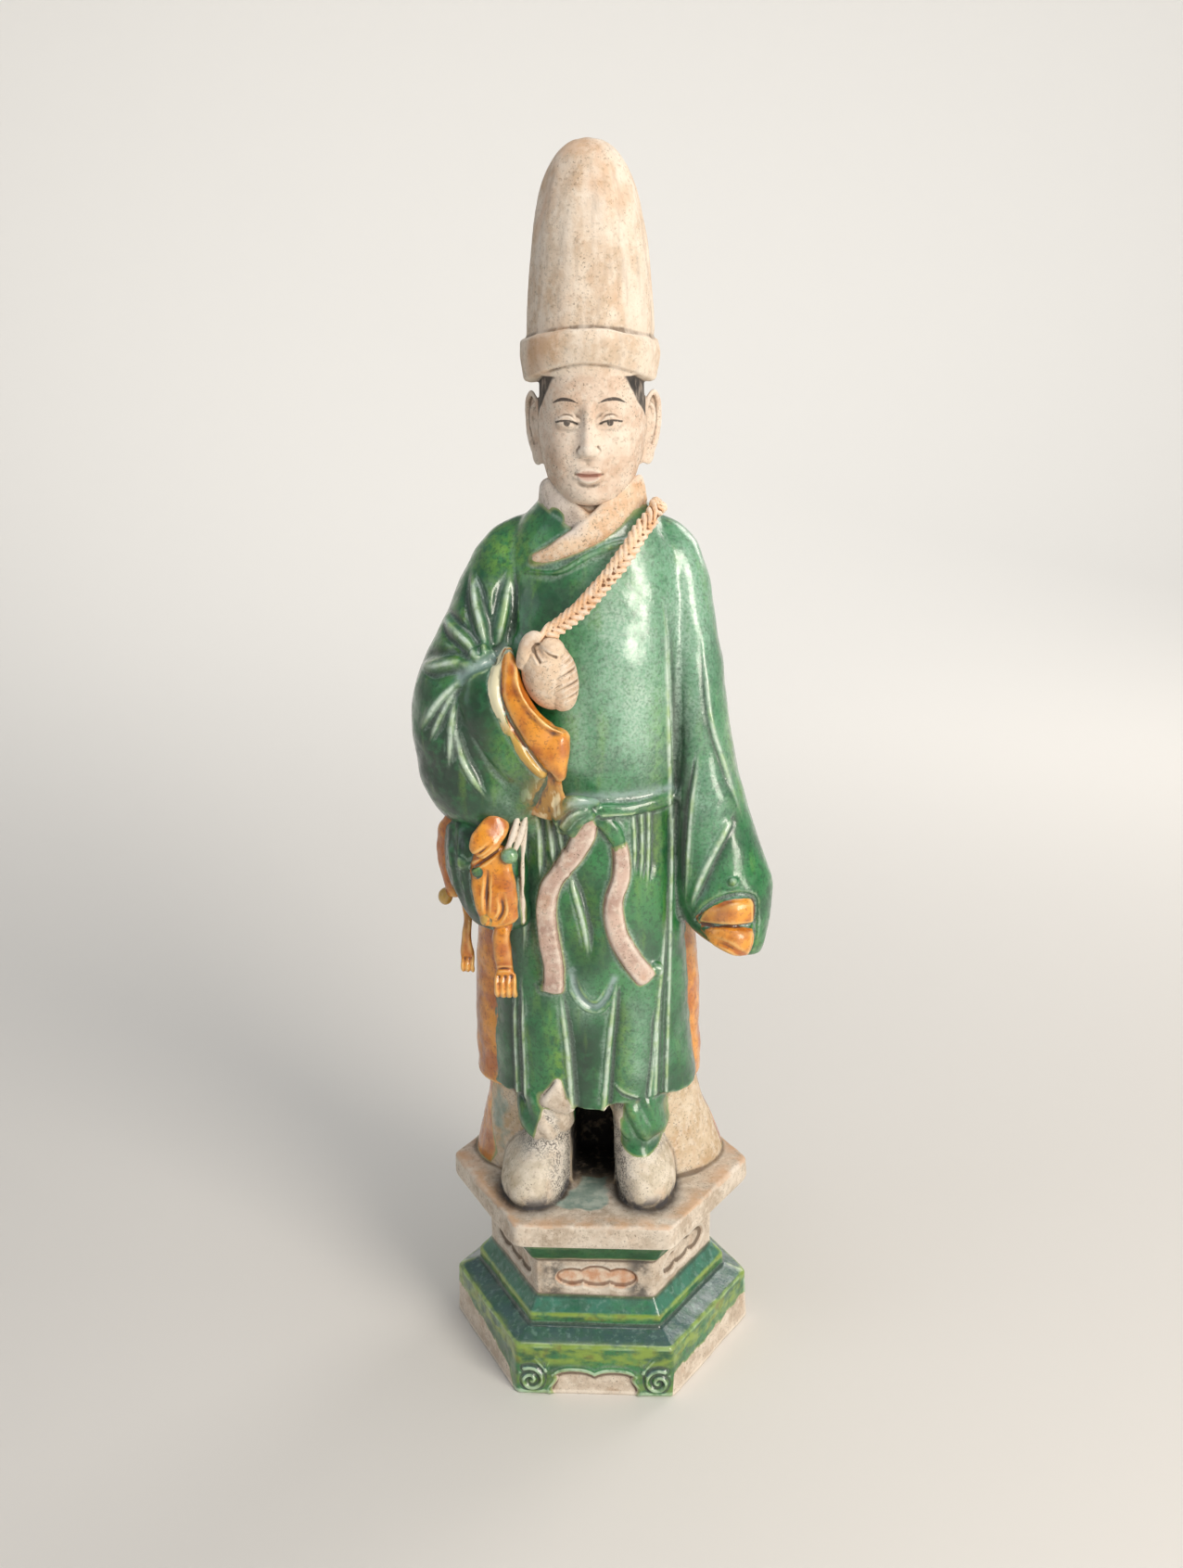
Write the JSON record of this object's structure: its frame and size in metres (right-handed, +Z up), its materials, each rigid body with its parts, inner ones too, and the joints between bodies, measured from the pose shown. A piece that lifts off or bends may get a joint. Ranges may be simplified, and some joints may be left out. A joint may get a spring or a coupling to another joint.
{
  "type": "glazed tomb attendant figure",
  "caption": "Standing earthenware tomb attendant with a tall conical hat, green and amber glaze, on a stepped hexagonal plinth.",
  "frame": {"origin": "on the ground, under the middle of the whole figure's bounding box", "axes": "+Z up from the plinth's foot to the crown of the hat, -Y the way the figure faces, +X towards its own left hand"},
  "size_m": [0.1724, 0.1396, 0.6],
  "materials": {
    "green_and_amber_glaze": "glossy lead glaze, worn and stained",
    "bare_clay": "unglazed buff clay with traces of cold paint",
    "plinth_glaze": "glossy lead glaze over a bare lower edge"
  },
  "bodies": {
    "root": {"attendant_body": "green_and_amber_glaze", "head_with_hat": "bare_clay", "hexagonal_plinth": "plinth_glaze"}
  },
  "joints": []
}
